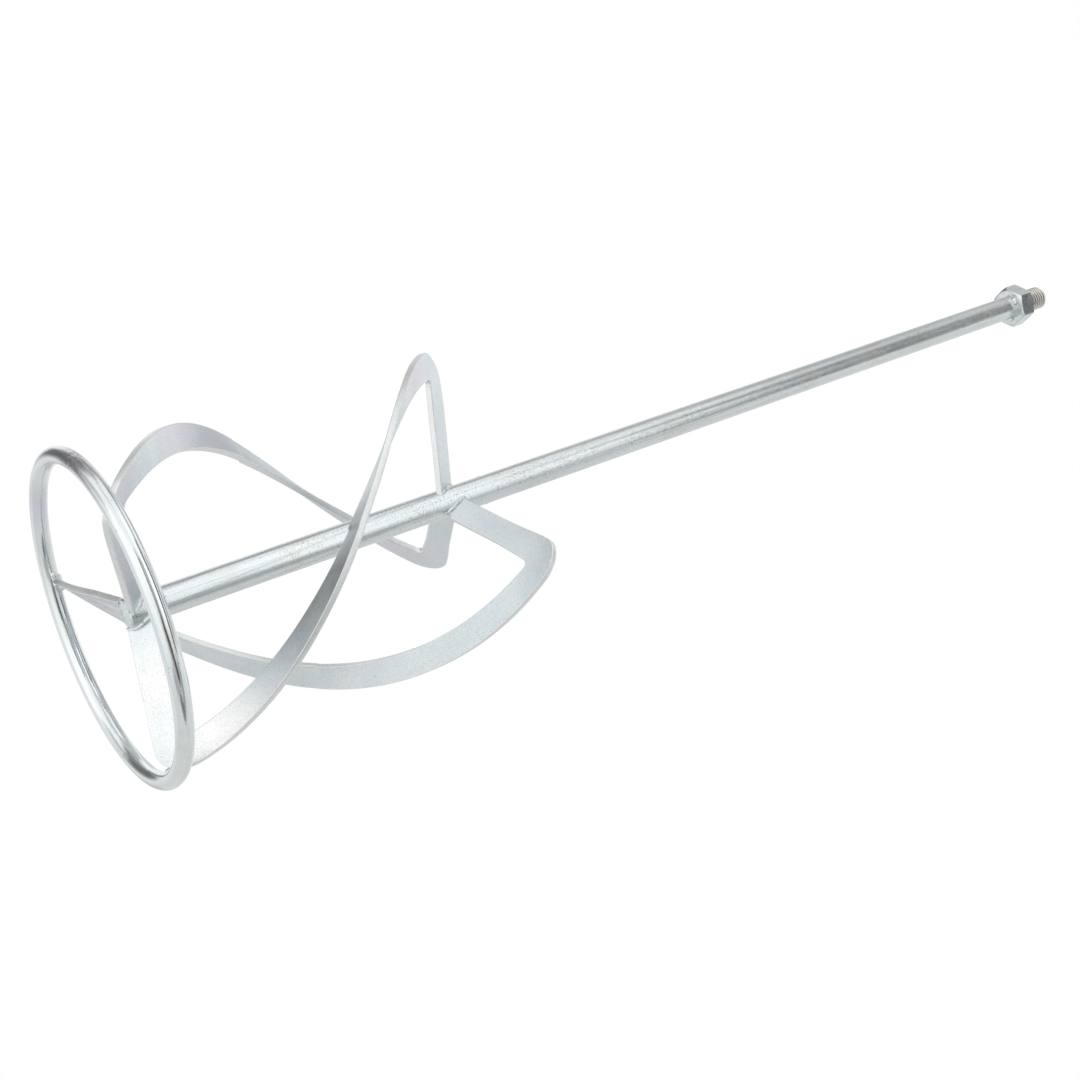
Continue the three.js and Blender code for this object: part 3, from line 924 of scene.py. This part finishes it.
# Long panels round the object. Each runs from one direction to another, given as (degrees to
# the right of the camera, degrees above it), and has half its width and the softness of its
# edge in degrees, how much it adds to the light there or takes from it, and its tint.
PANELS = (
    ((74, 52), (80, -8), 6.0, 4, -0.86, (1.0, 1.0, 1.0)),
    ((104, 4), (109, 38), 4.0, 6, -0.7, (1.0, 1.0, 1.0)),
    ((4, 33), (27, -16), 4.0, 5, -0.7, (0.97, 0.99, 1.0)),
    ((23, 36), (32, -2), 3.0, 5, -0.6, (1.0, 1.0, 0.98)),
    ((22, -7), (50, -40), 6.5, 7, -0.85, (0.98, 1.0, 1.0)),
    ((12, -14), (30, -46), 4.0, 8, -0.4, (0.94, 0.98, 1.0)),
    ((14, -58), (70, -58), 5.5, 7, -0.72, (1.0, 0.97, 0.94)),
    ((67, -18), (71, -50), 4.0, 8, -0.5, (1.0, 0.96, 0.94)),
    ((88, 50), (150, 64), 3.0, 6, -0.55, (1.0, 1.0, 1.0)),
    ((148, 58), (-160, 48), 7.0, 9, -0.5, (1.0, 1.0, 1.0)),
    ((152, 42), (178, 38), 3.0, 6, -0.35, (1.0, 1.0, 1.0)),
    ((138, 29), (166, 26), 4.0, 6, -0.6, (1.0, 1.0, 0.92)),
    ((-122, 0), (-112, 56), 12.0, 12, -0.7, (1.0, 1.01, 1.02)),
    ((-142, 12), (-68, 22), 6.0, 10, -0.4, (1.0, 0.99, 0.98)),
    ((-160, 56), (-96, 66), 8.0, 10, -0.5, (1.0, 1.01, 1.02)),
    ((-18, -52), (8, -46), 4.0, 7, -0.4, (0.97, 0.99, 1.0)),
    ((-165, -16), (-148, -18), 3.0, 8, -0.3, (1.0, 1.05, 0.8)),
    ((-178, 8), (-170, 30), 5.0, 8, -0.3, (1.0, 1.0, 0.9)),
    ((-62, 66), (-28, 66), 4.0, 7, -0.25, (1.0, 1.0, 1.0)),
    ((50, 70), (58, 0), 8.0, 10, 0.2, (1.0, 1.0, 1.0)),
    ((-58, 25), (-40, -38), 20.0, 16, 0.34, (1.0, 1.0, 0.98)),
    ((-8, 30), (-12, -40), 6.0, 9, 0.2, (1.0, 1.0, 0.9)),
    ((-110, -14), (-100, -34), 8.0, 10, 0.2, (1.0, 1.0, 1.0)),
)
LIGHT_ABOVE = 1.04
LIGHT_BELOW = 0.73


def from_camera(right_of, above):
    """World direction at some degrees right of, and above, the line back to the camera."""
    side, lift = math.radians(right_of), math.radians(above)
    local = Vector((math.sin(side) * math.cos(lift), math.sin(lift), math.cos(side) * math.cos(lift)))
    return scene.camera.matrix_world.to_3x3() @ local


def build_world():
    """White behind the object. Round it a soft studio, brighter above, with the panels in it."""
    world = bpy.data.worlds.new("studio")
    scene.world = world
    world.use_nodes = True
    tree = world.node_tree

    def add(kind, inputs, **settings):
        made = tree.nodes.new("ShaderNode" + kind)
        for key, value in settings.items():
            setattr(made, key, value)
        for key, value in inputs.items():
            if isinstance(value, bpy.types.NodeSocket):
                tree.links.new(value, made.inputs[key])
            else:
                made.inputs[key].default_value = value
        return made

    direction = add("TexCoord", {}).outputs["Generated"]

    def towards(aim):
        return add("VectorMath", {0: direction, 1: aim}, operation="DOT_PRODUCT").outputs["Value"]

    rise = {"Value": towards(from_camera(0, 90)), "From Min": -0.6, "From Max": 0.5}
    rise.update({"To Min": LIGHT_BELOW, "To Max": LIGHT_ABOVE})
    level = add("MapRange", rise, interpolation_type="SMOOTHSTEP").outputs["Result"]
    color = add("VectorMath", {0: (1, 1, 1), "Scale": level}, operation="SCALE").outputs["Vector"]
    for start, end, half_width, softness, change, tint in PANELS:
        start, end = from_camera(*start), from_camera(*end)
        middle = (start + end).normalized()
        half_length = math.degrees(start.angle(end) / 2)
        off_line = towards(start.cross(end).normalized())
        off_line = add("Math", {0: off_line}, operation="ABSOLUTE").outputs[0]
        across = {"Value": off_line, "From Min": math.sin(math.radians(half_width + softness))}
        across["From Max"] = math.sin(math.radians(half_width))
        across = add("MapRange", across, interpolation_type="SMOOTHSTEP").outputs["Result"]
        along = {"Value": towards(middle), "To Max": change}
        along["From Min"] = math.cos(math.radians(half_length + softness))
        along["From Max"] = math.cos(math.radians(max(half_length - softness / 2, 1)))
        along = add("MapRange", along, interpolation_type="SMOOTHSTEP").outputs["Result"]
        panel = add("Math", {0: across, 1: along}, operation="MULTIPLY").outputs[0]
        tinted = add("VectorMath", {0: tint, "Scale": panel}, operation="SCALE").outputs["Vector"]
        factor = add("VectorMath", {0: tinted, 1: (1, 1, 1)}, operation="ADD").outputs["Vector"]
        color = add("VectorMath", {0: color, 1: factor}, operation="MULTIPLY").outputs["Vector"]
    seen = tree.nodes["Background"]
    seen.inputs["Color"].default_value = (1, 1, 1, 1)
    lit = add("Background", {"Color": color})
    camera_ray = add("LightPath", {}).outputs["Is Camera Ray"]
    mixed = add("MixShader", {0: camera_ray, 1: lit.outputs[0], 2: seen.outputs[0]})
    tree.links.new(mixed.outputs[0], tree.nodes["World Output"].inputs["Surface"])


CAMERA_PLACE = Vector((-107.6, -661.6, -176.1)) * MM
CAMERA_HEADING = math.radians(12.07)
CAMERA_TILT = math.radians(30.67)
CAMERA_ROLL = math.radians(-69.41)
CAMERA_LENS = 51.65
CAMERA_SENSOR = 36


def build_camera():
    """Aims the camera by a heading from +Y, a tilt upwards and a roll about its own line."""
    data = bpy.data.cameras.new("camera")
    data.lens = CAMERA_LENS
    data.sensor_width = CAMERA_SENSOR
    data.clip_start = 10 * MM
    level = math.cos(CAMERA_TILT)
    ahead, aside = level * math.cos(CAMERA_HEADING), level * math.sin(CAMERA_HEADING)
    forward = Vector((aside, ahead, math.sin(CAMERA_TILT)))
    flat_right = forward.cross(Vector((0, 0, 1))).normalized()
    up = flat_right.cross(forward) * math.cos(CAMERA_ROLL) + flat_right * math.sin(CAMERA_ROLL)
    axes = Matrix((forward.cross(up), up, -forward)).transposed()
    camera = bpy.data.objects.new("camera", data)
    camera.matrix_world = Matrix.Translation(CAMERA_PLACE) @ axes.to_4x4()
    scene.collection.objects.link(camera)
    scene.camera = camera


scene.view_settings.view_transform = "Standard"
build_camera()
build_world()
build_floor()
build_shaft()
build_ring()
build_blades()
build_nut()
build_stud()
build_welds()

bpy.context.view_layer.update()
